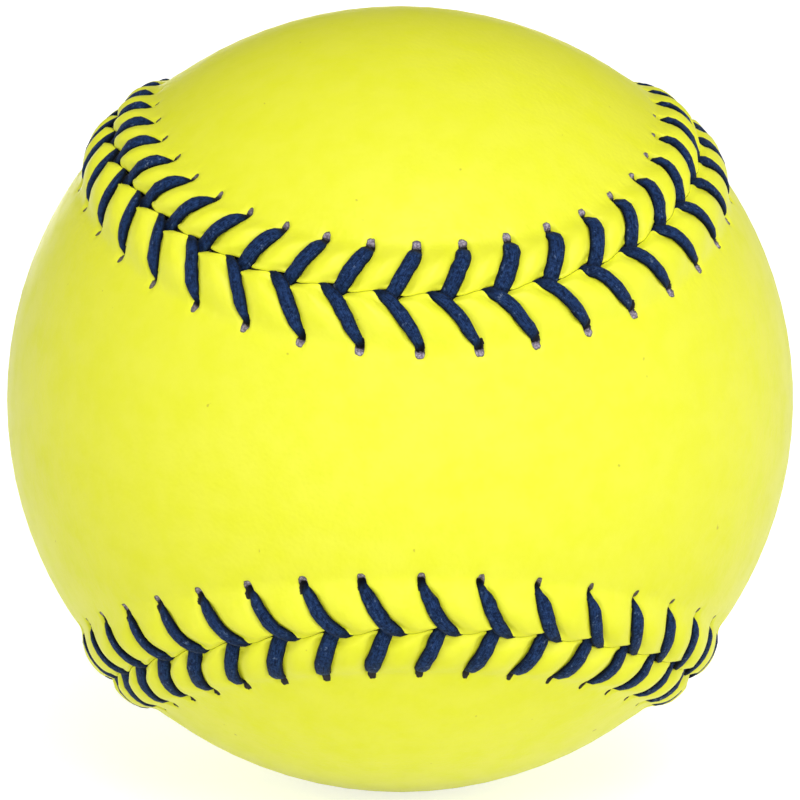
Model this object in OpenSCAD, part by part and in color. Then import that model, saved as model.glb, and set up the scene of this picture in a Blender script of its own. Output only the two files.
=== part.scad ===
// Fastpitch softball, 12 inch: a foam core, a cement film, two leather panels and two sewing threads.
// The origin is the centre of the ball. +Z points up through a lobe of the ends panel, and the waist
// of the sides panel faces the front, -Y.

/* [Ball] */
// Diameter over the flat leather, away from the seam
ball_d = 97; // [92:0.5:102]
// Thickness of the cover leather
leather_t = 1.4; // [1.2:0.05:1.6]
// Thickness of the cement film on the core
cement_t = 0.2; // [0.1:0.05:0.3]
// Room between the cement film and the leather's inner face
cement_gap = 0.05; // [0.02:0.01:0.1]

/* [Seam] */
// Width of a panel's waist, seam to seam over the curve of the ball
waist_w = 40; // [36:0.5:44]
// Number of stitches round the whole seam
stitches = 88; // [80:4:96]
// Height of the sewn ridge above the flat leather
ridge_h = 1.3; // [1.1:0.05:1.5]
// Distance from the seam to the crest of the ridge
crest_w = 2.4; // [2.1:0.1:2.7]
// Distance from the seam to where the leather lies flat
ridge_w = 9.5; // [9:0.25:11]
// Width of the slot between the edges of the two panels
slot_w = 0.8; // [0.7:0.05:1]
// Drop of a panel's rolled edge below the crest
lip_drop = 0.8; // [0.7:0.05:0.9]
// Thickness of the leather at its skived edge
lip_t = 0.9; // [0.8:0.05:1]

/* [Stitches] */
// Distance from the seam to the needle slits of the sides panel
sides_hole_w = 6.4; // [6.1:0.1:6.7]
// Distance from the seam to the needle slits of the ends panel
ends_hole_w = 5.6; // [5.3:0.1:5.9]
// Length of a needle slit, across the seam
slit_l = 1.8; // [1.7:0.05:2.1]
// Width of a needle slit, along the seam
slit_w = 1.2; // [1.1:0.05:1.4]
// How far the arms on the sides panel lean back along the seam, from slit to foot
sides_lean = 3.9; // [3.7:0.1:4.1]
// How far the arms on the ends panel lean back along the seam, from slit to foot
ends_lean = 2.3; // [2.1:0.1:2.5]
// Width of the flattened thread on the crest of the ridge
thread_w = 1.8; // [1.5:0.1:1.9]
// Thickness of the flattened thread on the crest of the ridge
thread_t = 0.84; // [0.7:0.02:0.88]
// Room between the thread and the leather that it lies on
thread_gap = 0.08; // [0.05:0.01:0.12]

/* [Hidden] */

$fn = 96;
ball_r = ball_d / 2;
seat_h = -leather_t - cement_gap;
core_r = ball_r + seat_h - cement_t;

// The seam is a closed curve on the ball, walked in the direction of the sewing. Its three waves are
// shares of the ball's radius: the corner wave squares its bends, and the waist's width sets the rest.
corner_share = 0.0165;
waist_turn = waist_w / ball_d * 180 / PI;
waist_share = -corner_share * cos(waist_turn) ^ 2
    + sin(waist_turn) * sqrt(1 - (corner_share * cos(waist_turn)) ^ 2);
main_share = (1 + waist_share) / 2;
swing_share = (1 - waist_share) / 2;

function unit(v) = v / norm(v);
function seam_dir(t) = unit([
    main_share * sin(t) + swing_share * sin(3 * t) + corner_share * sin(5 * t),
    -2 * sqrt(main_share * swing_share) * cos(2 * t),
    main_share * cos(t) - swing_share * cos(3 * t) + corner_share * cos(5 * t)
]);

// Table of seam length against its parameter, so that stitches can be spaced by length.
seam_steps = 720;
seam_step = 360 / seam_steps;
seam_table = [
    for (i = 0, l = 0;
        i <= seam_steps;
        l = l + ball_r * norm(seam_dir((i + 1) * seam_step) - seam_dir(i * seam_step)), i = i + 1)
    [l, i * seam_step]
];
seam_l = seam_table[seam_steps][0];
pitch = seam_l / stitches;

// Place of a point that lies s along the seam, w beside it towards the sides panel and h above the ball.
function seam_turn(s) = lookup(s - floor(s / seam_l) * seam_l, seam_table);
function on_ball(s, w, h) =
    let (
        t = seam_turn(s),
        p = seam_dir(t),
        ahead = unit(seam_dir(t + seam_step) - seam_dir(t - seam_step)),
        aside = cross(ahead, p),
        turn = w / ball_r * 180 / PI
    )
    (ball_r + h) * (p * cos(turn) + aside * sin(turn));

// Height of the leather's outer face at a distance w from the seam, out to the foot of the ridge.
function fall(w) = (1 + cos(180 * (w - crest_w) / (ridge_w - crest_w))) / 2;
function leather_h(w) = ridge_h * fall(w);

// The panel is made too thick where it lies flat, and the round seat is then cut out of it.
leather_spare = leather_t / 2;
seat_fn = 256;

// Section through the ridge, from the flat leather to the seam over the outer face, and back below.
// The rolled edge has one more corner between the lip and the crest.
flank_shares = [1, 0.75, 0.5, 0.25, 0];
edge_w_share = 0.35;
edge_drop_share = 0.53;
flank = [for (f = flank_shares) crest_w + f * (ridge_w - crest_w)];
outer_line = concat(
    [for (w = flank) [w, leather_h(w)]],
    [
        [slot_w / 2 + edge_w_share * (crest_w - slot_w / 2), ridge_h - edge_drop_share * lip_drop],
        [slot_w / 2, ridge_h - lip_drop]
    ]
);
inner_line = concat(
    [[slot_w / 2, ridge_h - lip_drop - lip_t]],
    [for (i = [len(flank) - 1 : -1 : 1]) [flank[i], leather_h(flank[i]) - leather_t]],
    [[ridge_w, -leather_t - leather_spare]]
);
ridge_line = concat(outer_line, inner_line);

// The sides panel has a spine along the middle of its waist and lobes. Each column of its mesh runs
// from a point of the spine to the seam, and the two halves of the panel share the spine's points.
columns = stitches;
spine_turn = 112;
lobe_turn = 180 - waist_turn;
outer_shares = [0.25, 0.5, 0.76];
inner_shares = [0.4];

function column_s(i) = i * pitch;
function spine_id(i) = let (u = (i + columns / 4) % columns) min(u, columns - u);
function spine_dir(id) =
    let (
        p = seam_dir(seam_turn(column_s(id - columns / 4))),
        a = atan2(p.x, -p.y),
        b = spine_turn * sin(90 * a / lobe_turn)
    )
    [sin(b), -cos(b), 0];
function ridge_row(w, h) = [for (i = [0 : columns - 1]) on_ball(column_s(i), w, h)];
function field_row(share, h) = [
    for (i = [0 : columns - 1])
    (ball_r + h) * unit(
        (1 - share) * spine_dir(spine_id(i)) + share * unit(on_ball(column_s(i), ridge_w, 0)))
];
function spine_row(h) = [for (id = [0 : columns / 2]) (ball_r + h) * spine_dir(id)];

// Two triangles between neighbours a and b of one row and c and d of the next.
function quad(a, b, c, d) = [[a, d, b], [a, c, d]];

module panel_skin() {
    rows = concat(
        [for (f = outer_shares) field_row(f, 0)],
        [for (p = ridge_line) ridge_row(p[0], p[1])],
        [for (i = [len(inner_shares) - 1 : -1 : 0]) field_row(inner_shares[i], -leather_t - 2 * leather_spare)]
    );
    spine_n = columns / 2 + 1;
    row_n = len(rows);
    last = spine_n + row_n * columns;
    points = concat(spine_row(0), [for (r = rows) each r], spine_row(-leather_t - 2 * leather_spare));
    start = [for (i = [0 : columns - 1]) let (j = (i + 1) % columns) each
        quad(spine_id(i), spine_id(j), spine_n + i, spine_n + j)];
    middle = [for (r = [0 : row_n - 2], i = [0 : columns - 1])
        let (j = (i + 1) % columns, a = spine_n + r * columns) each
        quad(a + i, a + j, a + columns + i, a + columns + j)];
    end = [for (i = [0 : columns - 1]) let (j = (i + 1) % columns, a = last - columns) each
        quad(a + i, a + j, last + spine_id(i), last + spine_id(j))];
    polyhedron(points, concat(start, middle, end));
}

// Half turn that takes the sides panel to the place of the ends panel.
module swap_panels() {
    rotate(180, [1, 0, 1])
    children();
}

// A cutter for one needle slit, standing on the seam's length s and reaching from w to w + slit_l.
slit_overrun = 1;
slit_back = 1.15;
slit_tall = leather_t + ridge_h + 2 * slit_overrun;
module slit(s, w) {
    p = unit(on_ball(s, w, 0));
    aside = unit(cross(cross(p, on_ball(s, w + slit_l, 0)), p));
    along = cross(aside, p);
    multmatrix([
        [along.x, aside.x, p.x, 0],
        [along.y, aside.y, p.y, 0],
        [along.z, aside.z, p.z, 0]
    ])
    translate([-slit_w / 2, -slit_back, ball_r - leather_t - slit_overrun])
    cube([slit_w, slit_l, slit_tall]);
}

module leather_panel(hole_w) {
    difference() {
        panel_skin();
        sphere(r = ball_r - leather_t, $fn = seat_fn);
        for (k = [0 : stitches - 1]) slit(k * pitch, hole_w);
    }
}

// One arm of a stitch as [along, beside, above, width, thickness] from where it rises in the slot to
// where it has turned under the leather past its slit. The widths and thicknesses are shares.
slot_share = 0.12;
over_share = 0.2;
under_share = 0.45;
mouth_share = 0.0625;
gap_h = ridge_h - lip_drop - lip_t - slot_w / 2;
over_h = ridge_h - lip_drop + over_share * slot_w;
mouth_h = mouth_share * seat_h;
under_h = seat_h + thread_gap + under_share * thread_t;
crest_step = 0.4;
neck_w = 0.9;
turn_w = 0.5;
turn_v = 0.2;
arm_w_shares = [0.66, 0.66, 0.94, 1, 0.64, 0.5, 0.6];
arm_t_shares = [0.7, 0.7, 1, 1, 0.84, 0.7, 0.65];
arm_lean_shares = [1, 1, 0.53, 0.31, 0.08, 0, 0];

function ride_h(w, share) = leather_h(w) + thread_gap + share * thread_t / 2;
function arm_path(hole_w, lean) =
    let (
        a = crest_w - crest_step,
        d = hole_w - neck_w,
        c = (a + d) / 2,
        along = [for (f = arm_lean_shares) -f * lean],
        places = [
            [along[0], -slot_share * slot_w, gap_h],
            [along[1], slot_share * slot_w / 2, over_h],
            [along[2], a, ride_h(crest_w, arm_t_shares[2])],
            [along[3], c, ride_h(c, arm_t_shares[3])],
            [along[4], d, ride_h(d, arm_t_shares[4])],
            [along[5], hole_w, mouth_h],
            [turn_v, hole_w - turn_w, under_h]
        ]
    )
    [for (i = [0 : len(places) - 1]) concat(places[i], [arm_w_shares[i] * thread_w, arm_t_shares[i] * thread_t])];

sides_arm = arm_path(sides_hole_w, sides_lean);
ends_arm = arm_path(ends_hole_w, ends_lean);

// A thread goes to the sides panel and the ends panel by turns, and its tail lies under the leather.
function arm_of(k, first) = (k + first) % 2 == 0 ? sides_arm : ends_arm;
function side_of(k, first) = (k + first) % 2 == 0 ? 1 : -1;
function thread_path(first) = [
    for (k = [0 : stitches - 1], p = arm_of(k, first))
    [k * pitch + p[0], side_of(k, first) * p[1], p[2], p[3], p[4]]
];
function place(p) = [p[0], p[1], p[2]];

// Six corners round the thread at one place of its path, in its flattened section.
section_shares = [[0.5, 0], [0.27, 0.5], [-0.27, 0.5], [-0.5, 0], [-0.27, -0.5], [0.27, -0.5]];
function ring(before, here, after) =
    let (
        go = unit(unit(place(here) - place(before)) + unit(place(after) - place(here))),
        up = unit([0, -go.z, go.y]),
        flat = cross(go, up)
    )
    [for (c = section_shares)
        let (q = place(here) + c[0] * here[3] * flat + c[1] * here[4] * up) on_ball(q.x, q.y, q.z)];

module sewing_thread(first) {
    path = thread_path(first);
    n = len(path);
    m = len(section_shares);
    tail = concat((place(path[0]) + place(path[n - 1]) - [seam_l, 0, 0]) / 2, [path[0][3], path[0][4]]);
    line = concat([tail], path);
    rings = [
        for (i = [0 : n])
        let (
            before = i == 0 ? tail + (tail - path[0]) : line[i - 1],
            after = i == n ? line[n] + (line[n] - line[n - 1]) : line[i + 1]
        )
        ring(before, line[i], after)
    ];
    faces = concat(
        [for (c = [1 : m - 2]) [0, c, c + 1]],
        [for (i = [0 : n - 1], c = [0 : m - 1])
            let (d = (c + 1) % m, a = i * m, b = a + m) each quad(a + c, a + d, b + c, b + d)],
        [for (c = [1 : m - 2]) [n * m, n * m + c + 1, n * m + c]]
    );
    polyhedron([for (r = rings) each r], faces);
}

// Cast polyurethane foam ball.
module core() {
    color("#d8cba8")
    sphere(r = core_r);
}

// Thin film of cement that sticks the leather to the core.
module cement_film() {
    color("#e9e2c4")
    difference() {
        sphere(r = core_r + cement_t);
        sphere(r = core_r);
    }
}

// Leather panel with its lobes at the top and the bottom and its waist at the back.
module leather_panel_ends() {
    color("#f2f53c")
    swap_panels()
    leather_panel(ends_hole_w);
}

// Leather panel with its lobes at the left and the right and its waist at the front.
module leather_panel_sides() {
    color("#eef238")
    leather_panel(sides_hole_w);
}

// Waxed thread of the first needle.
module sewing_thread_first() {
    color("#1d2f6f")
    sewing_thread(0);
}

// Waxed thread of the second needle.
module sewing_thread_second() {
    color("#22367a")
    sewing_thread(1);
}

core();
cement_film();
leather_panel_ends();
leather_panel_sides();
sewing_thread_first();
sewing_thread_second();
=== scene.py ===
import math

import bpy
import numpy as np
from mathutils import Euler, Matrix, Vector


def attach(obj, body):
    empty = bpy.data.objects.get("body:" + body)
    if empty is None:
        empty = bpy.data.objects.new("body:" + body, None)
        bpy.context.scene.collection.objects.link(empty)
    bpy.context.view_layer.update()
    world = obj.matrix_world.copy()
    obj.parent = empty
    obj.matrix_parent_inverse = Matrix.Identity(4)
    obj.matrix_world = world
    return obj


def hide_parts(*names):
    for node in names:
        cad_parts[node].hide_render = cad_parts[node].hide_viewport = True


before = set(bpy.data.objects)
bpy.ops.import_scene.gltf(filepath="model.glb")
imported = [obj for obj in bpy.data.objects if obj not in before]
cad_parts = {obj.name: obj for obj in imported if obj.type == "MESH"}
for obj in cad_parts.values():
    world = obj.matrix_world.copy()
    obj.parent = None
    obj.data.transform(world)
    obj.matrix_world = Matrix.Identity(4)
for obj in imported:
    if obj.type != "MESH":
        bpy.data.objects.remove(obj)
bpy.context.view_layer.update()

bpy.ops.object.select_all(action="DESELECT")

# Foam core.
# One ball of polyurethane foam, cast in a round mould, which leaves a thin skin with fine pores on it.
# Nothing of it shows once the cover is sewn on.

FOAM_COLOR = (0.72, 0.64, 0.46, 1)
FOAM_SKIN_COLOR = (0.60, 0.50, 0.33, 1)


def start_finish(name, color, roughness, specular):
    """A new material, with the values that are the same all over it on its shader."""
    finish = bpy.data.materials.new(name)
    finish.use_nodes = True
    finish.diffuse_color = color
    shader = finish.node_tree.nodes["Principled BSDF"]
    shader.inputs["Base Color"].default_value = color
    shader.inputs["Roughness"].default_value = roughness
    shader.inputs["Specular IOR Level"].default_value = specular
    return finish, shader


def step(tree, kind, inputs, output=0, **settings):
    """Adds one node to a material or a world, fills its inputs and returns one of its outputs."""
    added = tree.nodes.new("ShaderNode" + kind)
    for setting, value in settings.items():
        setattr(added, setting, value)
    for socket, value in inputs.items():
        if isinstance(value, bpy.types.NodeSocket):
            tree.links.new(value, added.inputs[socket])
        else:
            added.inputs[socket].default_value = value
    return added.outputs[output]


def calc(tree, operation, a, b=0.0, c=0.0):
    return step(tree, "Math", {0: a, 1: b, 2: c}, operation=operation)


def ramp(tree, value, low, high, to_low=0.0, to_high=1.0):
    """Turns a value that goes from low to high into one that goes smoothly from to_low to to_high."""
    return step(
        tree, "MapRange", {0: value, 1: low, 2: high, 3: to_low, 4: to_high},
        interpolation_type="SMOOTHSTEP",
    )


def mix_colors(tree, share, first, second):
    return step(tree, "Mix", {0: share, 6: first, 7: second}, output=2, data_type="RGBA")


def noise(tree, place, scale, detail=3.0, roughness=0.5):
    return step(tree, "TexNoise", {"Vector": place, "Scale": scale, "Detail": detail, "Roughness": roughness})


def wear_finish(node_name, finish):
    """Puts a material on a node that is carried over from the CAD model."""
    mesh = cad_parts[node_name].data
    mesh.materials.clear()
    mesh.materials.append(finish)


foam, foam_shader = start_finish("core_foam", FOAM_COLOR, 0.8, 0.3)
tree = foam.node_tree
place = step(tree, "TexCoord", {}, output=3)
pores = ramp(tree, noise(tree, place, scale=2500, detail=2), 0.35, 0.5)
patches = noise(tree, place, scale=90)
tree.links.new(mix_colors(tree, patches, FOAM_COLOR, FOAM_SKIN_COLOR), foam_shader.inputs["Base Color"])
tree.links.new(
    step(tree, "Bump", {"Height": pores, "Strength": 0.4, "Distance": 0.0002}), foam_shader.inputs["Normal"]
)
wear_finish("core", foam)

# Cement film.
# Latex cement, brushed on the core in a thin coat before the cover goes on. It dries to a dull cream skin
# with brush marks and holds the leather to the foam.

CEMENT_COLOR = (0.84, 0.78, 0.58, 1)
CEMENT_THICK_COLOR = (0.70, 0.60, 0.36, 1)

cement, cement_shader = start_finish("cement", CEMENT_COLOR, 0.45, 0.4)
tree = cement.node_tree
place = step(tree, "TexCoord", {}, output=3)
stroke_place = step(tree, "Mapping", {"Vector": place, "Scale": (0.2, 1.0, 1.0)})
strokes = noise(tree, stroke_place, scale=900, detail=4)
tree.links.new(
    mix_colors(tree, ramp(tree, strokes, 0.4, 0.7), CEMENT_COLOR, CEMENT_THICK_COLOR),
    cement_shader.inputs["Base Color"],
)
tree.links.new(
    step(tree, "Bump", {"Height": strokes, "Strength": 0.5, "Distance": 0.0002}), cement_shader.inputs["Normal"]
)
wear_finish("cement_film", cement)

# Leather cover.
# Two equal figure-8 panels of dyed cowhide, 1.4 mm thick, slit 88 times along the edge and stretched damp over
# the core. The threads pull their edges up into a ridge and down into a seam, and the leather swells between.

MM = 0.001
BALL_R = 48.5
LEATHER_T = 1.4
STITCHES = 88

# Places of the mesh's columns along one stitch, from the arm's line. They are closest by the arm and its slit.
COLUMN_PLACES = np.array([
    -2.3, -1.75, -1.3, -0.95, -0.65, -0.42, -0.2, 0, 0.2, 0.42, 0.65, 0.95, 1.3, 1.7, 2.15, 2.6, 2.95, 3.35
])
COLUMNS_A_STITCH = len(COLUMN_PLACES)

# The seam's curve is a sum of three waves, with the panels' waist 40 mm wide over the curve of the ball.
WAIST_W = 40.0
CORNER_SHARE = 0.0165
waist_turn = WAIST_W / (2 * BALL_R)
waist_share = (
    -CORNER_SHARE * math.cos(waist_turn) ** 2
    + math.sin(waist_turn) * math.sqrt(1 - (CORNER_SHARE * math.cos(waist_turn)) ** 2)
)
MAIN_SHARE = (1 + waist_share) / 2
SWING_SHARE = (1 - waist_share) / 2


def unit(v):
    return v / np.linalg.norm(v, axis=-1, keepdims=True)


def seam_direction(turn):
    return unit(np.stack([
        MAIN_SHARE * np.sin(turn) + SWING_SHARE * np.sin(3 * turn) + CORNER_SHARE * np.sin(5 * turn),
        -2 * math.sqrt(MAIN_SHARE * SWING_SHARE) * np.cos(2 * turn),
        MAIN_SHARE * np.cos(turn) - SWING_SHARE * np.cos(3 * turn) + CORNER_SHARE * np.cos(5 * turn),
    ], axis=-1))


SEAM_TURNS = np.linspace(0, 2 * math.pi, 7201)
seam_steps = np.linalg.norm(np.diff(seam_direction(SEAM_TURNS), axis=0), axis=1) * BALL_R
SEAM_LENGTHS = np.concatenate([[0], np.cumsum(seam_steps)])
SEAM_L = SEAM_LENGTHS[-1]
PITCH = SEAM_L / STITCHES
SMALL_TURN = 0.002

# How far the stitches lie off even steps, in mm, where the leather was pulled. These are waves round the seam:
# an even part, then the sine and the cosine of one to four turns. The first is for the seam itself, and the
# other two hold in full for the slits of each panel, PULL_REACH from the seam.
SEAM_PULL = (0.07, -1.06, 0.0, 1.78, -0.39, 0.06, -0.28, -0.27, 0.01)
ENDS_PULL = (0.07, -2.72, 0.63, 3.01, -0.61, 0.04, -0.61, 0.0, -0.08)
SIDES_PULL = (-1.32, -0.12, 0.0, 2.5, 0.54, -0.07, 0.05, -1.0, 0.43)
PULL_REACH = 6.0

# How much further from the seam the arms end, or less far, as such waves.
ENDS_REACH = (-0.25, -0.02, -0.28, 0.07, 0.05, -0.02, -0.10, 0.02, 0.05)
SIDES_REACH = (-0.09, -0.09, 0.03, 0.07, -0.23, 0.03, -0.10, 0.08, -0.17)

# How far the last part of the arms on the ends panel bends along the seam, in two waves round it, and between
# which distances from the seam this bend and the reach above set in.
ENDS_BEND = -0.9
BEND_ZONE = (4.2, 6.2)
REACH_ZONE = (1.5, 5.5)

# The quarter of the seam with the tighter thread: the turn to add so that its middle is at 0, and the cosines
# at its ends and where it is tightest.
TIGHT_TURN = 1
TIGHT_NEAR = (0.6, 0.92)


def smooth(low, high, value):
    share = np.clip((value - low) / (high - low), 0, 1)
    return share * share * (3 - 2 * share)


def pulled(along, waves):
    """The sum of such waves at a length along the seam."""
    angle = 2 * np.pi * along / SEAM_L
    return waves[0] + sum(
        waves[2 * turns - 1] * np.sin(turns * angle) + waves[2 * turns] * np.cos(turns * angle)
        for turns in (1, 2, 3, 4)
    )


def tightness(along):
    """Share by which the thread is drawn tighter in one quarter of the seam, where the edges part for it."""
    return smooth(*TIGHT_NEAR, np.cos(2 * np.pi * along / SEAM_L + TIGHT_TURN))


def on_ball(along, beside, above):
    """Places in mm, for lengths along the seam, beside it (above 0 on the sides panel) and above the ball."""
    share = np.clip(np.abs(beside) / PULL_REACH, 0, 1)
    far_pull = np.where(beside > 0, pulled(along, SIDES_PULL), pulled(along, ENDS_PULL))
    bend = ENDS_BEND * np.sin(4 * np.pi * along / SEAM_L) * smooth(*BEND_ZONE, -beside)
    drifted = along + (1 - share) * pulled(along, SEAM_PULL) + share * far_pull + bend
    turn = np.interp(drifted % SEAM_L, SEAM_LENGTHS, SEAM_TURNS)
    here = seam_direction(turn)
    ahead = unit(seam_direction(turn + SMALL_TURN) - seam_direction(turn - SMALL_TURN))
    reach = np.where(beside > 0, pulled(along, SIDES_REACH), pulled(along, ENDS_REACH))
    swing = ((beside + np.sign(beside) * reach * smooth(*REACH_ZONE, np.abs(beside))) / BALL_R)[..., None]
    return (BALL_R + above)[..., None] * (here * np.cos(swing) + np.cross(ahead, here) * np.sin(swing))


# Line that the arm of a stitch takes over each panel, as (beside, along, half width), from the seam to its slit.
SIDES_SLIT = 6.4
SIDES_LINE = np.array([
    (0.0, -4.6, 0.3), (0.28, -4.3, 0.4), (0.75, -3.65, 0.6), (1.28, -3.0, 0.75), (1.95, -2.35, 0.86),
    (2.8, -1.75, 0.9), (3.75, -1.28, 0.92), (4.7, -0.88, 0.9), (5.5, -0.5, 0.83), (6.4, 0.0, 0.55),
    (7.4, 0.15, 0.4), (10.2, 0.0, 0.4),
])
ENDS_SLIT = 5.6
ENDS_LINE = np.array([
    (0.0, -2.4, 1.0), (0.9, -1.97, 1.02), (1.8, -1.5, 1.05), (2.8, -1.05, 1.06), (3.8, -0.6, 1.05),
    (4.6, -0.28, 0.98), (5.2, -0.1, 0.72), (5.8, 0.05, 0.5), (6.6, 0.15, 0.4), (9.4, 0.0, 0.4),
])

# How far the edge of each panel lies from the seam's line, by the length past the tip of an opening. The edges
# part there to let the threads up, and close up again behind the foot of the ends panel's arm.
TIP = -4.7
ENDS_EDGE = np.array([
    (0.0, -0.14), (0.7, -0.38), (1.5, -0.52), (2.2, -0.5), (2.6, -0.2), (3.0, 0.18), (3.4, 0.32), (3.9, 0.33),
    (4.4, 0.23), (5.0, 0.06), (PITCH, -0.14),
])
SIDES_EDGE = np.array([
    (0.0, -0.11), (0.5, 0.06), (1.2, 0.42), (2.0, 0.8), (2.6, 0.82), (3.0, 0.42), (3.4, 0.35), (3.9, 0.36),
    (4.4, 0.26), (5.0, 0.09), (PITCH, -0.11),
])

# The ridge along both edges: its height, how far its crest and its foot lie from the seam, how far the edge
# rolls down at the seam, and how thick its lip is. SLACK keeps the cover just inside the ball's true size.
RIDGE_H = 1.3
CREST_W = 2.2
RIDGE_W = 9.5
ROLL_DROP = 0.4
LIP_DROP = 0.24
LIP_T = 0.9
SLACK = 0.04

# The edge of a panel: how far in the course of the openings and the thin lip reach, the zone where both edges
# come to one level, and how far past the slits the rows that follow the stitches end.
EDGE_BEND_REACH = 1.2
LIP_REACH = 2
MEET_ZONE = (0, 1.0)
EDGE_REACH = 3.8

# The swell between two arms: its height, and where it rises beside the seam and falls again past the slit.
PILLOW_H = 0.46
PILLOW_ZONE = (-1.6, 1.0)
PILLOW_FALL = 3.4
PILLOW_PAST = 1.6

# The groove under an arm, deeper under its foot, and the dent where the thread pulls the slit down.
GROOVE_H = 0.4
GROOVE_EDGE = 0.45
GROOVE_FLOOR_SHARE = 0.75
GROOVE_PAST = (0.4, 2.4)
FULL_ARM_HALF_W = 0.8
ENDS_FOOT_H = 0.5
SIDES_FOOT_H = 0.05
FOOT_REACH = 2.4
FOOT_SPREAD_SHARE = 1.2
PINCH_H = 0.34
PINCH_PAST = 0.6
PINCH_REACH = 1.3

# The pocket by the foot of the ends panel's arm in the tighter quarter, by the length past the tip.
POCKET_W = 0.7
POCKET_START = (2.4, 3.2)
POCKET_END = (3.5, 5.5)

# The open end of a slit: its middle is SLIT_OFF along the seam from the arm's line and SLIT_PAST beyond the
# place where the thread goes down. In two stretches the slits are drawn shut by SHUT_SHARE of their width.
# Each of SHUT_TURNS is the turn to add so that the middle of one stretch is at 0, and SHUT_NEAR has the cosines
# at its ends and where the slits are shut.
SLIT_HALF_W = {SIDES_SLIT: 0.51, ENDS_SLIT: 0.63}
SLIT_HALF_L = 1.1
SLIT_OFF = 0.14
SLIT_PAST = 0.45
SLIT_DEPTH = 1.0
PIT_WALL = 2.2
PIT_RISE = (0.3, 1.15)
PIT_RISE_SHARE = 0.85
SHUT_TURNS = (1.0, -2.3)
SHUT_NEAR = (0.52, 0.92)
SHUT_SHARE = 0.68


def swell(beside, off, half, slit, foot):
    """How far the leather stands out between two arms, or is pressed in under one."""
    near = 1 - smooth(0, FOOT_REACH, beside)
    beyond = np.clip((np.abs(off) - half) / (PITCH / 2 - half), 0, 1)
    pillow = PILLOW_H * np.sin(np.pi / 2 * beyond) * smooth(*PILLOW_ZONE, beside)
    pillow = pillow * (1 - smooth(PILLOW_FALL, slit + PILLOW_PAST, beside))
    groove_half = half + GROOVE_EDGE + FOOT_SPREAD_SHARE * foot * near
    pull = 1 - smooth(half * GROOVE_FLOOR_SHARE, groove_half, np.abs(off))
    depth = GROOVE_H * np.clip(half / FULL_ARM_HALF_W, 0, 1) + foot * near
    return pillow - depth * pull * (1 - smooth(slit + GROOVE_PAST[0], slit + GROOVE_PAST[1], beside))


def seam_swell(along):
    """The level at which the edges of the two panels meet, halfway between what each would take by itself."""
    level = np.zeros_like(along)
    swells = [
        swell(level, (along - line[0, 1] + PITCH / 2) % PITCH - PITCH / 2, line[0, 2], slit, foot)
        for line, slit, foot in ((ENDS_LINE, ENDS_SLIT, ENDS_FOOT_H), (SIDES_LINE, SIDES_SLIT, SIDES_FOOT_H))
    ]
    return sum(swells) / 2


def leather_height(along, beside, off, half, slit, foot):
    """Height of the outer face at a distance beside the seam and off the middle of the nearest arm."""
    roll = np.clip(1 - beside / CREST_W, 0, 1)
    fall = (1 + np.cos(np.pi * np.clip((beside - CREST_W) / (RIDGE_W - CREST_W), 0, 1))) / 2
    ridge = RIDGE_H * fall - ROLL_DROP * roll ** 2 - LIP_DROP * roll ** 12
    pinch = PINCH_H * np.exp(-(((beside - slit - PINCH_PAST) / PINCH_REACH) ** 2))
    own = smooth(*MEET_ZONE, beside)
    return ridge - pinch + own * swell(beside, off, half, slit, foot) + (1 - own) * seam_swell(along) - SLACK


def slit_shut(along):
    """Share by which the slits are drawn shut, in two stretches of the seam."""
    turn = 2 * np.pi * along / SEAM_L
    return smooth(*SHUT_NEAR, np.maximum(np.cos(turn + SHUT_TURNS[0]), np.cos(turn + SHUT_TURNS[1])))


def slit_pit(along, beside, off, slit):
    """Depth of the cut that the thread goes down through, with its open end past the thread."""
    half = SLIT_HALF_W[slit] * (1 - SHUT_SHARE * slit_shut(along))
    inside = 1 - np.abs((off - SLIT_OFF) / half) ** 3 - np.abs((beside - slit - SLIT_PAST) / SLIT_HALF_L) ** 3
    rise = PIT_RISE_SHARE * smooth(slit + PIT_RISE[0], slit + PIT_RISE[1], beside)
    return SLIT_DEPTH * np.clip(PIT_WALL * inside, 0, 1) * (1 - rise)


# On the map a panel's v is the distance from the seam. It grows by LOBE_REACH from the last row of the stitches
# to the panel's middle line, and is INNER_V inside. FAR_BESIDE is past the end of an arm's line.
SPINE_TURN = math.radians(112)
LOBE_REACH = 20
FAR_BESIDE = 99.0
INNER_V = -10.0


def spine_direction(number, numbers):
    """Middle line of the sides panel, numbered from the end of one lobe to the end of the other."""
    across = seam_direction(np.interp((number - numbers / 4) / numbers % 1 * SEAM_L, SEAM_LENGTHS, SEAM_TURNS))
    round_z = np.arctan2(across[..., 0], -across[..., 1])
    bend = SPINE_TURN * np.sin(np.pi / 2 * round_z / (np.pi - waist_turn))
    return np.stack([np.sin(bend), -np.cos(bend), np.zeros_like(bend)], axis=-1)


def grid_piece(name, across, down):
    """A flat grid to be bent into shape, with the column and the row of each of its corners."""
    bpy.ops.mesh.primitive_grid_add(x_subdivisions=across, y_subdivisions=down, size=1)
    piece = bpy.context.active_object
    piece.name = piece.data.name = name
    corners = np.zeros(len(piece.data.vertices) * 3)
    piece.data.vertices.foreach_get("co", corners)
    corners = corners.reshape(-1, 3)
    columns = np.rint((corners[:, 0] + 0.5) * across).astype(int)
    rows = np.rint((corners[:, 1] + 0.5) * down).astype(int)
    return piece, columns, rows


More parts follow.
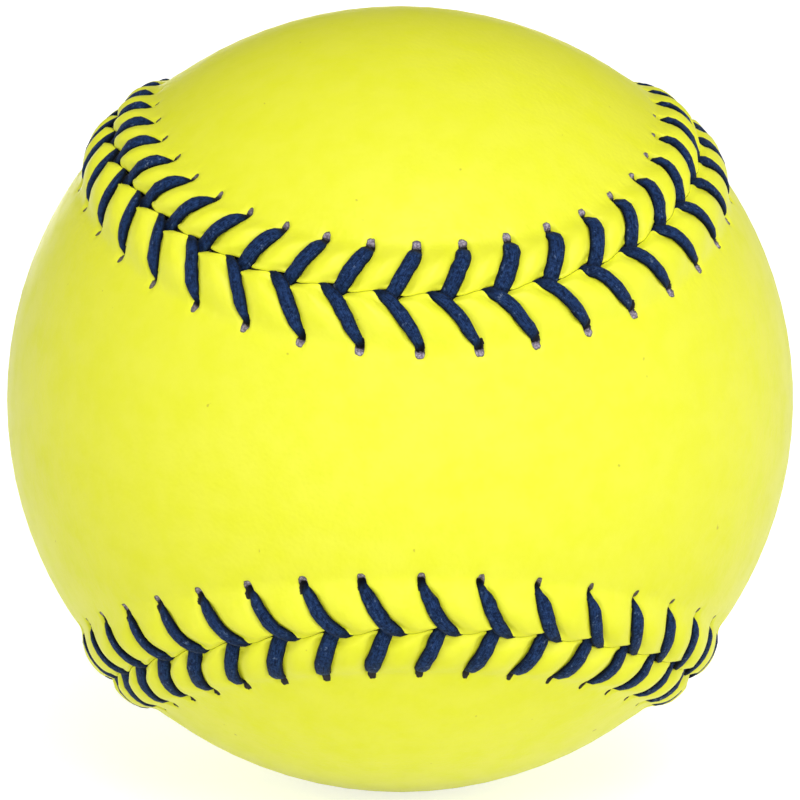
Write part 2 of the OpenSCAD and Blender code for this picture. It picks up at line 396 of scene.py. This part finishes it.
def bend_grid(piece, columns, rows, places, map_u, map_v):
    """Takes each corner of the grid to its place and gives it a place on the map, then closes the mesh."""
    piece.data.vertices.foreach_set("co", (places[rows, columns] * MM).ravel())
    corner_of = np.zeros(len(piece.data.loops), int)
    piece.data.loops.foreach_get("vertex_index", corner_of)
    uv = np.stack([map_u[rows, columns], map_v[rows, columns]], axis=-1)[corner_of]
    piece.data.uv_layers[0].data.foreach_set("uv", uv.ravel())
    bpy.ops.object.mode_set(mode="EDIT")
    bpy.ops.mesh.select_all(action="SELECT")
    bpy.ops.mesh.remove_doubles(threshold=0.002 * MM)
    bpy.ops.mesh.normals_make_consistent(inside=False)
    bpy.ops.mesh.select_all(action="DESELECT")
    bpy.ops.object.mode_set(mode="OBJECT")
    bpy.ops.object.shade_smooth()
    piece.select_set(False)


def leather_panel(name, side, line, slit, foot, edge):
    """One panel as a closed skin: over the outer face from its middle line to the seam, and back inside."""
    # Rows of the mesh, as shares of the way from the middle line, and as distances beside the seam.
    field_shares = np.array([0, 0.12, 0.24, 0.36, 0.48, 0.6, 0.72, 0.82, 0.92])
    beside_rows = np.concatenate([
        slit + np.array([
            EDGE_REACH, 2.9, 2.2, 1.7, 1.35, 1.1, 0.88, 0.66, 0.44, 0.22, 0,
            -0.22, -0.44, -0.66, -0.92, -1.25, -1.65,
        ]),
        np.linspace(slit - 2.1, 2.6, 4), [2.15, 1.7, 1.3, 0.98, 0.72, 0.5, 0.32, 0.18, 0.08, 0.02, 0],
    ])
    inner_rows = np.array([0.03, 2.2, 5.5, slit + EDGE_REACH])
    inner_shares = np.array([0.5, 0])

    numbers = STITCHES * COLUMNS_A_STITCH
    number = np.arange(numbers + 1)
    stitch, column = np.divmod(number, COLUMNS_A_STITCH)
    off = COLUMN_PLACES[column]
    stitch_along = stitch * PITCH

    # The columns from both edges of a panel end at the same places of its middle line, where the mesh closes.
    spine_number = (number + numbers // 4 if side > 0 else numbers // 2 - number) % numbers
    spine = spine_direction(np.minimum(spine_number, numbers - spine_number), numbers)
    if side < 0:
        spine = spine[:, [2, 1, 0]] * (1, -1, 1)

    def row_along(beside):
        return stitch_along + off + np.interp(beside, line[:, 0], line[:, 1])

    def outer_row(beside):
        along = row_along(beside)
        half = np.interp(beside, line[:, 0], line[:, 2])
        lean = np.gradient(line[:, 1], line[:, 0])
        slant = 1 / np.sqrt(1 + np.interp(beside, line[:, 0], lean) ** 2)

        # How far a millimetre along the seam is stretched out on the ball here.
        level = np.zeros_like(along)
        stretch = np.linalg.norm(
            on_ball(along + 0.5, level + side * beside, level) - on_ball(along - 0.5, level + side * beside, level),
            axis=-1,
        )
        height = leather_height(along, beside, off * stretch * slant, half, slit, foot)
        height = height - slit_pit(along, beside, off, slit)
        past_tip = (along - TIP) % PITCH
        pocket = POCKET_W * tightness(along) * smooth(*POCKET_START, past_tip) * (1 - smooth(*POCKET_END, past_tip))
        aside = (np.interp(past_tip, *edge.T) - pocket * (side < 0)) * np.exp(-((beside / EDGE_BEND_REACH) ** 2))
        return along, side * beside + aside, height

    def field_row(share, height):
        rim_along, rim_beside, _ = outer_row(slit + EDGE_REACH)
        rim = unit(on_ball(rim_along, rim_beside, np.zeros_like(rim_along)))
        towards = unit((1 - share) * spine + share * rim)
        return towards * (BALL_R + height)

    places, map_u, map_v = [], [], []

    def add_row(row, along, beside):
        places.append(row)
        map_u.append(along / PITCH)
        map_v.append(np.full_like(along, beside))

    for share in field_shares:
        add_row(field_row(share, -SLACK), row_along(FAR_BESIDE), slit + EDGE_REACH + LOBE_REACH * (1 - share))
    for beside in beside_rows:
        along, aside, height = outer_row(beside)
        add_row(on_ball(along, aside, height), along, beside)
    lip_height = height
    for beside in inner_rows:
        along, aside, height = outer_row(beside)
        lip = np.clip(lip_height - LIP_T + LEATHER_T, 0, None) * (1 - smooth(0, LIP_REACH, beside))
        inner_height = -LEATHER_T + lip
        add_row(on_ball(along, aside, inner_height), along, INNER_V)
    for share in inner_shares:
        add_row(field_row(share, -LEATHER_T), row_along(FAR_BESIDE), INNER_V)

    places, map_u, map_v = np.array(places), np.array(map_u), np.array(map_v)
    piece, columns, rows = grid_piece(name, numbers, len(places) - 1)
    bend_grid(piece, columns, rows, places, map_u, map_v)
    return piece


LEATHER_COLOR = (0.90, 0.92, 0.050, 1)
LEATHER_DEEP_COLOR = (0.87, 0.90, 0.028, 1)
RAW_COLOR = (0.20, 0.17, 0.25, 1)
RAW_TUFT_COLOR = (0.52, 0.46, 0.55, 1)
# Painted shade for the slits that are drawn shut, so they show as thin dark cracks.
SHUT_SLIT_SHADE_COLOR = (0.07, 0.06, 0.03, 1)
SHADED_COLOR = (0.02, 0.02, 0.022, 1)
SPECK_COLOR = (0.30, 0.20, 0.03, 1)
# How far past the slit the painted shade on the bare hide reaches, and how much painted shade the lower slits get.
SLIT_SHADE_REACH = {SIDES_SLIT: 0.42, ENDS_SLIT: 0.62}
LOWER_SLIT_SHADE = {SIDES_SLIT: 0.0, ENDS_SLIT: 0.95}


def leather_finish(slit):
    """Dyed and pressed grain, creased past the slits, with the grey fibres of the hide bare inside them."""
    finish, shader = start_finish(f"cover_leather_{round(slit * 10)}", LEATHER_COLOR, 0.45, 0.3)
    tree = finish.node_tree
    place = step(tree, "TexCoord", {}, output=3)
    seam_map = step(tree, "UVMap", {}, uv_map="UVMap")
    stitch_u = step(tree, "SeparateXYZ", {"Vector": seam_map}, output=0)
    beside_v = step(tree, "SeparateXYZ", {"Vector": seam_map}, output=1)
    from_arm = calc(tree, "SUBTRACT", calc(tree, "FRACT", calc(tree, "ADD", stitch_u, 0.5)), 0.5)
    off = calc(tree, "MULTIPLY", from_arm, PITCH)

    # Bare hide in the open end of each slit, with a ragged edge, and painted shade where it goes down with the
    # thread.
    ragged = calc(tree, "MULTIPLY", calc(tree, "SUBTRACT", noise(tree, place, scale=2600), 0.5), 1.1)
    turn = calc(tree, "MULTIPLY", stitch_u, 2 * math.pi / STITCHES)
    nearest = calc(
        tree, "MAXIMUM", calc(tree, "COSINE", calc(tree, "ADD", turn, SHUT_TURNS[0])),
        calc(tree, "COSINE", calc(tree, "ADD", turn, SHUT_TURNS[1])),
    )
    shut = ramp(tree, nearest, *SHUT_NEAR)
    half = ramp(tree, nearest, *SHUT_NEAR, SLIT_HALF_W[slit], (1 - SHUT_SHARE) * SLIT_HALF_W[slit])
    across = calc(tree, "ABSOLUTE", calc(tree, "DIVIDE", calc(tree, "SUBTRACT", off, SLIT_OFF), half))
    past_middle = calc(tree, "SUBTRACT", beside_v, slit + SLIT_PAST)
    length = calc(tree, "ABSOLUTE", calc(tree, "DIVIDE", past_middle, SLIT_HALF_L))
    spread = calc(tree, "ADD", calc(tree, "POWER", across, 3.0), calc(tree, "POWER", length, 3.0))
    within = calc(tree, "SUBTRACT", calc(tree, "ADD", 1.05, ragged), spread)
    bare = ramp(tree, within, -0.05, 0.12)
    tufts = noise(tree, place, scale=4200, detail=2)
    raw = mix_colors(tree, ramp(tree, tufts, 0.42, 0.62), RAW_COLOR, RAW_TUFT_COLOR)
    # Painted shade round the rim of the bare hide.
    raw = mix_colors(tree, ramp(tree, within, 0.1, 0.5, 0.85, 0), raw, SHADED_COLOR)
    # Painted shade where the slits are drawn shut.
    raw = mix_colors(tree, calc(tree, "MULTIPLY", shut, 0.85), raw, SHUT_SLIT_SHADE_COLOR)
    ragged_v = calc(tree, "ADD", beside_v, calc(tree, "MULTIPLY", ragged, 0.4))
    shade_to = slit + SLIT_SHADE_REACH[slit]
    raw = mix_colors(tree, ramp(tree, ragged_v, shade_to, shade_to + 0.38), SHADED_COLOR, raw)
    # Painted shade over the lower slits of the ends panel.
    lower = ramp(tree, calc(tree, "COSINE", turn), -0.7, -0.2, LOWER_SLIT_SHADE[slit], 0)
    raw = mix_colors(tree, lower, raw, SHADED_COLOR)

    # The rolled edge of the leather is in shade, above all in the opening that the threads come up through.
    past_tip = calc(tree, "MULTIPLY", calc(tree, "FRACT", calc(tree, "SUBTRACT", stitch_u, TIP / PITCH)), PITCH)
    opening = calc(tree, "MULTIPLY", ramp(tree, past_tip, 0.0, 0.5), ramp(tree, past_tip, 3.3, 4.2, 1, 0))
    edge = calc(tree, "MULTIPLY", ramp(tree, beside_v, 0.0, 0.018, 1, 0), ramp(tree, opening, 0, 1, 0.55, 1))

    mottle = ramp(tree, noise(tree, place, scale=260, detail=4, roughness=0.6), 0.3, 0.75)
    dyed = mix_colors(tree, mottle, LEATHER_COLOR, LEATHER_DEEP_COLOR)
    specks = ramp(tree, noise(tree, place, scale=900, detail=1, roughness=0.3), 0.81, 0.84, 0, 0.35)
    dyed = mix_colors(tree, specks, dyed, SPECK_COLOR)
    dyed = mix_colors(tree, edge, dyed, SHADED_COLOR)
    tree.links.new(mix_colors(tree, bare, dyed, raw), shader.inputs["Base Color"])
    dullness = calc(tree, "ADD", bare, calc(tree, "MULTIPLY", mottle, 0.3))
    tree.links.new(ramp(tree, dullness, 0, 1, 0.4, 0.85), shader.inputs["Roughness"])

    # Creases that run out from the slits, under the fine pressed grain.
    crease_place = step(tree, "CombineXYZ", {
        0: calc(tree, "MULTIPLY", stitch_u, 5.0), 1: calc(tree, "MULTIPLY", beside_v, 0.32), 2: 0.0,
    })
    creases = noise(tree, crease_place, scale=1.0, detail=2)
    crease_zone = calc(
        tree, "MULTIPLY", ramp(tree, beside_v, slit - 1, slit + 1),
        ramp(tree, beside_v, slit + 1, slit + EDGE_REACH, 1, 0),
    )
    crease_height = calc(tree, "MULTIPLY", creases, crease_zone)
    crease_bump = step(tree, "Bump", {"Height": crease_height, "Strength": 0.2, "Distance": 0.0004})
    grain = step(tree, "TexVoronoi", {"Vector": place, "Scale": 1900.0}, feature="SMOOTH_F1")
    wrinkles = noise(tree, place, scale=420, detail=5, roughness=0.65)
    grain_height = calc(tree, "ADD", calc(tree, "MULTIPLY", grain, 0.4), wrinkles)
    grain_bump = step(
        tree, "Bump", {"Height": grain_height, "Strength": 0.32, "Distance": 0.0002, "Normal": crease_bump}
    )
    tree.links.new(grain_bump, shader.inputs["Normal"])
    return finish


for name, side, line, slit, foot, edge in (
    ("leather_panel_ends", -1, ENDS_LINE, ENDS_SLIT, ENDS_FOOT_H, ENDS_EDGE),
    ("leather_panel_sides", 1, SIDES_LINE, SIDES_SLIT, SIDES_FOOT_H, SIDES_EDGE),
):
    cover = leather_panel("cover_" + name.split("_")[-1], side, line, slit, foot, edge)
    cover.data.materials.append(leather_finish(slit))
    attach(cover, "root")
    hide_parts(name)

# Sewing threads.
# Two strands of waxed navy thread, sewn with two needles at once. Each goes to the sides panel and the ends
# panel by turns: up out of the seam, over the swollen edge, where the pull presses it flat, and down its slit.

# Rings of one arm, as (along, beside, lift, width, thickness). The lift is above the leather in its groove.
SIDES_ARM = np.array([
    (-4.4, 0.0, -1.2, 0.6, 0.45),
    (-4.85, -0.12, 0.0, 0.2, 0.2),
    (-4.2, 0.08, 0.04, 1.0, 0.5),
    (-3.5, 0.54, 0.16, 1.5, 0.72),
    (-2.85, 1.12, 0.25, 1.7, 0.82),
    (-2.25, 1.88, 0.3, 1.72, 0.86),
    (-1.72, 2.8, 0.32, 1.74, 0.86),
    (-1.26, 3.75, 0.32, 1.76, 0.86),
    (-0.86, 4.7, 0.31, 1.7, 0.84),
    (-0.46, 5.4, 0.28, 1.58, 0.8),
    (-0.1, 6.0, 0.12, 1.36, 0.7),
    (0.14, 6.5, -0.5, 1.1, 0.6),
    (0.2, 5.9, -1.5, 0.9, 0.5),
])
ENDS_ARM = np.array([
    (-3.15, -1.35, -0.6, 1.1, 0.5),
    (-2.98, -0.9, 0.03, 1.5, 0.62),
    (-2.78, -0.42, -0.02, 1.72, 0.72),
    (-2.5, 0.05, -0.04, 1.84, 0.78),
    (-2.2, 0.5, 0.14, 1.9, 0.84),
    (-1.85, 1.15, 0.3, 1.94, 0.86),
    (-1.45, 1.95, 0.32, 1.96, 0.86),
    (-1.05, 2.8, 0.32, 1.98, 0.86),
    (-0.65, 3.7, 0.32, 1.98, 0.86),
    (-0.32, 4.5, 0.3, 1.94, 0.84),
    (-0.06, 5.2, 0.2, 1.86, 0.78),
    (0.12, 5.7, -0.22, 1.5, 0.6),
    (0.2, 5.1, -1.5, 1.0, 0.5),
])

# Section of a strand, as shares of its width and thickness: the right side, the rounded top, the left side and
# the flat bottom. RING_TOP is the middle of the top, as a share of the way round.
RING = np.array([
    (0.5, -0.05), (0.42, 0.32), (0.16, 0.5), (-0.16, 0.5), (-0.42, 0.32), (-0.5, -0.05),
    (-0.34, -0.45), (0.34, -0.45),
])
RING_TOP = 2.5 / len(RING)

# Where the thread is drawn tighter, an arm's foot lies further along and wider on the ends panel. The arms
# taper to their slits where those are drawn shut. No two arms lie quite alike, but for their rings below
# UNDER_LEATHER.
FOOT_DRIFT = 0.3
FOOT_EXTRA_W = 0.35
FOOT_ZONE = (-0.2, 1.4)
SHUT_TAPER = 0.55
TAPER_PAST = (-1.6, 0.1)
UNDER_LEATHER = -0.4
ARM_CHANCE = 0.05
RING_CHANCE = 0.03


def arm_rings(arm, side, line, slit, foot, stitch, chance):
    """The rings of one arm where it lies on the ball, a little different from arm to arm."""
    along, beside, lift, width, thick = arm.T
    shown = (lift > UNDER_LEATHER).astype(float)
    on_leather = np.clip(beside, 0, None)
    half = np.interp(on_leather, line[:, 0], line[:, 2])
    along = stitch * PITCH + along
    height = leather_height(along, on_leather, np.zeros_like(along), half, slit, foot) + lift
    spare = tightness(along) * (side < 0) * (1 - smooth(*FOOT_ZONE, beside))
    along_chance = chance.normal(0, ARM_CHANCE) + chance.normal(0, RING_CHANCE, len(arm))
    along = along + FOOT_DRIFT * spare + shown * along_chance
    width_chance = chance.normal(0, ARM_CHANCE) + chance.normal(0, RING_CHANCE, len(arm))
    width = width * (1 + FOOT_EXTRA_W * spare + shown * width_chance)
    taper = SHUT_TAPER * slit_shut(along) * smooth(slit + TAPER_PAST[0], slit + TAPER_PAST[1], beside)
    width = width * (1 - taper)
    middle = on_ball(along, side * beside, height)
    heading = np.gradient(on_ball(along, side * beside, np.zeros_like(height)), axis=0)
    heading[0], heading[1] = heading[2], heading[2]
    heading[-1] = heading[-2] = heading[-3]
    return middle, heading, width, thick


def sewing_thread(name, first, seed):
    """One strand all round the seam, closed on itself where its ends are run back under the leather."""
    chance = np.random.default_rng(seed)
    middles, headings, widths, thicks, lengths = [], [], [], [], []
    for stitch in range(STITCHES):
        if (stitch + first) % 2 == 0:
            rings = arm_rings(SIDES_ARM, 1, SIDES_LINE, SIDES_SLIT, SIDES_FOOT_H, stitch, chance)
        else:
            rings = arm_rings(ENDS_ARM, -1, ENDS_LINE, ENDS_SLIT, ENDS_FOOT_H, stitch, chance)
        middle, heading, width, thick = rings
        middles.append(middle)
        headings.append(heading)
        widths.append(width)
        thicks.append(thick)
        lengths.append(stitch + np.arange(len(middle)) / len(middle))
    middles, headings = np.concatenate(middles), np.concatenate(headings)
    widths, thicks, lengths = np.concatenate(widths), np.concatenate(thicks), np.concatenate(lengths)

    go = unit(unit(middles - np.roll(middles, 1, axis=0)) + unit(np.roll(middles, -1, axis=0) - middles))
    flat = unit(np.cross(headings, unit(middles)))
    up = unit(np.cross(flat, go))
    order = np.append(np.arange(len(RING)), 0)
    places = (
        middles[None] + RING[order, 0][:, None, None] * widths[None, :, None] * flat[None]
        + RING[order, 1][:, None, None] * thicks[None, :, None] * up[None]
    )
    places = np.concatenate([places, places[:, :1]], axis=1)
    lengths = np.append(lengths, STITCHES)
    map_u, map_v = np.meshgrid(lengths, np.arange(len(order)) / len(RING))
    piece, columns, rows = grid_piece(name, places.shape[1] - 1, places.shape[0] - 1)
    bend_grid(piece, columns, rows, places, map_u, map_v)
    return piece


THREAD_COLOR = (0.0006, 0.006, 0.024, 1)
THREAD_LIT_COLOR = (0.021, 0.060, 0.19, 1)
# Painted shade for the strand's sides and for where it goes down into the leather.
THREAD_SHADE_COLOR = (0.0005, 0.003, 0.009, 1)
# Pale wax on the thread, which also stands in for its glints as painted highlight.
WAX_AND_GLINT_COLOR = (0.20, 0.27, 0.38, 1)

thread, thread_shader = start_finish("sewing_thread", THREAD_COLOR, 0.7, 0.1)
thread_shader.inputs["Sheen Weight"].default_value = 0.03
thread_shader.inputs["Sheen Roughness"].default_value = 0.4
tree = thread.node_tree
place = step(tree, "TexCoord", {}, output=3)
strand_map = step(tree, "UVMap", {}, uv_map="UVMap")
length_u = step(tree, "SeparateXYZ", {"Vector": strand_map}, output=0)
round_v = step(tree, "SeparateXYZ", {"Vector": strand_map}, output=1)

# Fibres run along the strand, felted by the wax. The strand has painted shade at its sides and where it goes down.
fibre_place = step(tree, "CombineXYZ", {
    0: calc(tree, "MULTIPLY", length_u, 9.0), 1: calc(tree, "MULTIPLY", round_v, 44.0), 2: 0.0,
})
fibres = noise(tree, fibre_place, scale=1.0, detail=4, roughness=0.7)
felt = noise(tree, place, scale=2600, detail=4, roughness=0.7)
blotches = calc(tree, "ADD", calc(tree, "MULTIPLY", fibres, 0.5), calc(tree, "MULTIPLY", felt, 0.5))
color = mix_colors(tree, ramp(tree, blotches, 0.38, 0.64), THREAD_COLOR, THREAD_LIT_COLOR)
# Specks of pale wax, partly painted highlight for the glints on the fibres.
wax_and_glints = ramp(tree, noise(tree, place, scale=1300, detail=4, roughness=0.7), 0.6, 0.74, 0, 0.6)
color = mix_colors(tree, wax_and_glints, color, WAX_AND_GLINT_COLOR)
from_middle = calc(tree, "ABSOLUTE", calc(tree, "SUBTRACT", round_v, RING_TOP))
arm_share = calc(tree, "FRACT", length_u)
# Painted shade on the foot and on the end at the slit, where the strand goes down.
foot = ramp(tree, arm_share, 0.1, 0.34, 0.75, 0)
slit_end_shade = ramp(tree, arm_share, 0.74, 0.84, 0, 0.95)
painted_shade = calc(tree, "MAXIMUM", ramp(tree, from_middle, 0.1, 0.28, 0, 0.92), calc(tree, "MAXIMUM", foot, slit_end_shade))
tree.links.new(mix_colors(tree, painted_shade, color, THREAD_SHADE_COLOR), thread_shader.inputs["Base Color"])
tree.links.new(
    step(tree, "Bump", {"Height": blotches, "Strength": 0.7, "Distance": 0.00015}), thread_shader.inputs["Normal"]
)

for name, first, seed in (("sewing_thread_first", 0, 3), ("sewing_thread_second", 1, 8)):
    strand = sewing_thread("strand_" + name.split("_")[-1], first, seed)
    strand.data.materials.append(thread)
    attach(strand, "root")
    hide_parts(name)

# Floor, light and camera.
# The ball stands on a plain white floor in soft light from above, the front and the right, with a weak lamp
# behind it and a sky that darkens upwards. The camera has a long lens and stands 582 mm from the ball's middle.

FLOOR_SIZE = 12
FLOOR_COLOR = (0.92, 0.92, 0.92, 1)
FLOOR_GLOW = 0.66

# The sky is plain white to the camera. What gloss shows of it, and its light on the ball, darken between the
# heights of SKY_RISE over the horizon.
SKY_RISE = (0.02, 0.32)
SKY_SEEN = (1.0, 0.1)
SKY_LIGHT = (1.72, 0.3)
LAMP_COLOR = (1.0, 0.982, 0.99)
CAMERA_TILT = (0.16707, 0.00126, 0.05041)
CAMERA_FAR = 12 * BALL_R * MM


def seen_share(tree, ray):
    """1 for the camera and for what gloss and glass show, 0 for the light that falls on the ball."""
    shown_in_gloss = calc(tree, "MAXIMUM", ray.outputs["Is Glossy Ray"], ray.outputs["Is Transmission Ray"])
    return calc(tree, "MAXIMUM", ray.outputs["Is Camera Ray"], shown_in_gloss)


bpy.ops.mesh.primitive_plane_add(size=FLOOR_SIZE, location=(0, 0, -BALL_R * MM))
floor = bpy.context.active_object
floor.name = "floor"
floor_finish, floor_shader = start_finish("white_floor", FLOOR_COLOR, 0.9, 0.1)
tree = floor_finish.node_tree
seen = seen_share(tree, tree.nodes.new("ShaderNodeLightPath"))
glow = step(tree, "Emission", {"Color": (1, 1, 1, 1), "Strength": calc(tree, "MULTIPLY", seen, FLOOR_GLOW)})
both = step(tree, "AddShader", {0: floor_shader.outputs["BSDF"], 1: glow})
tree.links.new(both, tree.nodes["Material Output"].inputs["Surface"])
floor.data.materials.append(floor_finish)

world = bpy.data.worlds.new("studio")
bpy.context.scene.world = world
world.use_nodes = True
tree = world.node_tree
ray = tree.nodes.new("ShaderNodeLightPath")
seen = seen_share(tree, ray)
upward = step(tree, "SeparateXYZ", {"Vector": step(tree, "TexCoord", {}, output=0)}, output=2)
seen_level = calc(tree, "MULTIPLY", ramp(tree, upward, *SKY_RISE, *SKY_SEEN), seen)
light_level = calc(tree, "MULTIPLY", ramp(tree, upward, *SKY_RISE, *SKY_LIGHT), calc(tree, "SUBTRACT", 1.0, seen))
sky = tree.nodes["Background"]
sky.inputs["Color"].default_value = (1, 1, 1, 1)
level = calc(tree, "MAXIMUM", calc(tree, "ADD", seen_level, light_level), ray.outputs["Is Camera Ray"])
tree.links.new(level, sky.inputs["Strength"])

turn = Euler(CAMERA_TILT, "XYZ").to_matrix().transposed()


def soft_light(name, place, size, power):
    """A square lamp that faces the ball, placed to the right of, behind and above it as the camera sees it."""
    bpy.ops.object.light_add(type="AREA", location=turn @ Vector(place))
    lamp = bpy.context.active_object
    lamp.name = name
    lamp.data.shape = "SQUARE"
    lamp.data.size = size
    lamp.data.energy = power
    lamp.data.color = LAMP_COLOR
    lamp.rotation_euler = lamp.location.to_track_quat("Z", "Y").to_euler()


soft_light("high_light", (0.2, -1.1, 0.85), size=0.9, power=10.1)
soft_light("front_light", (0.34, -1.3, -0.38), size=1.8, power=10.5)
soft_light("back_light", (-0.2, 1.4, 0.0), size=0.8, power=7.0)

bpy.ops.object.camera_add(
    location=turn @ Vector((0, -CAMERA_FAR, 0)),
    rotation=(turn @ Euler((math.pi / 2, 0, 0)).to_matrix()).to_euler(),
)
camera = bpy.context.active_object
camera.data.sensor_width = 36
camera.data.lens = 211.75
camera.data.shift_x = -0.0001
camera.data.shift_y = -0.00125
camera.data.clip_start = 0.01
camera.data.clip_end = 30
bpy.context.scene.camera = camera
bpy.context.scene.view_settings.view_transform = "Standard"
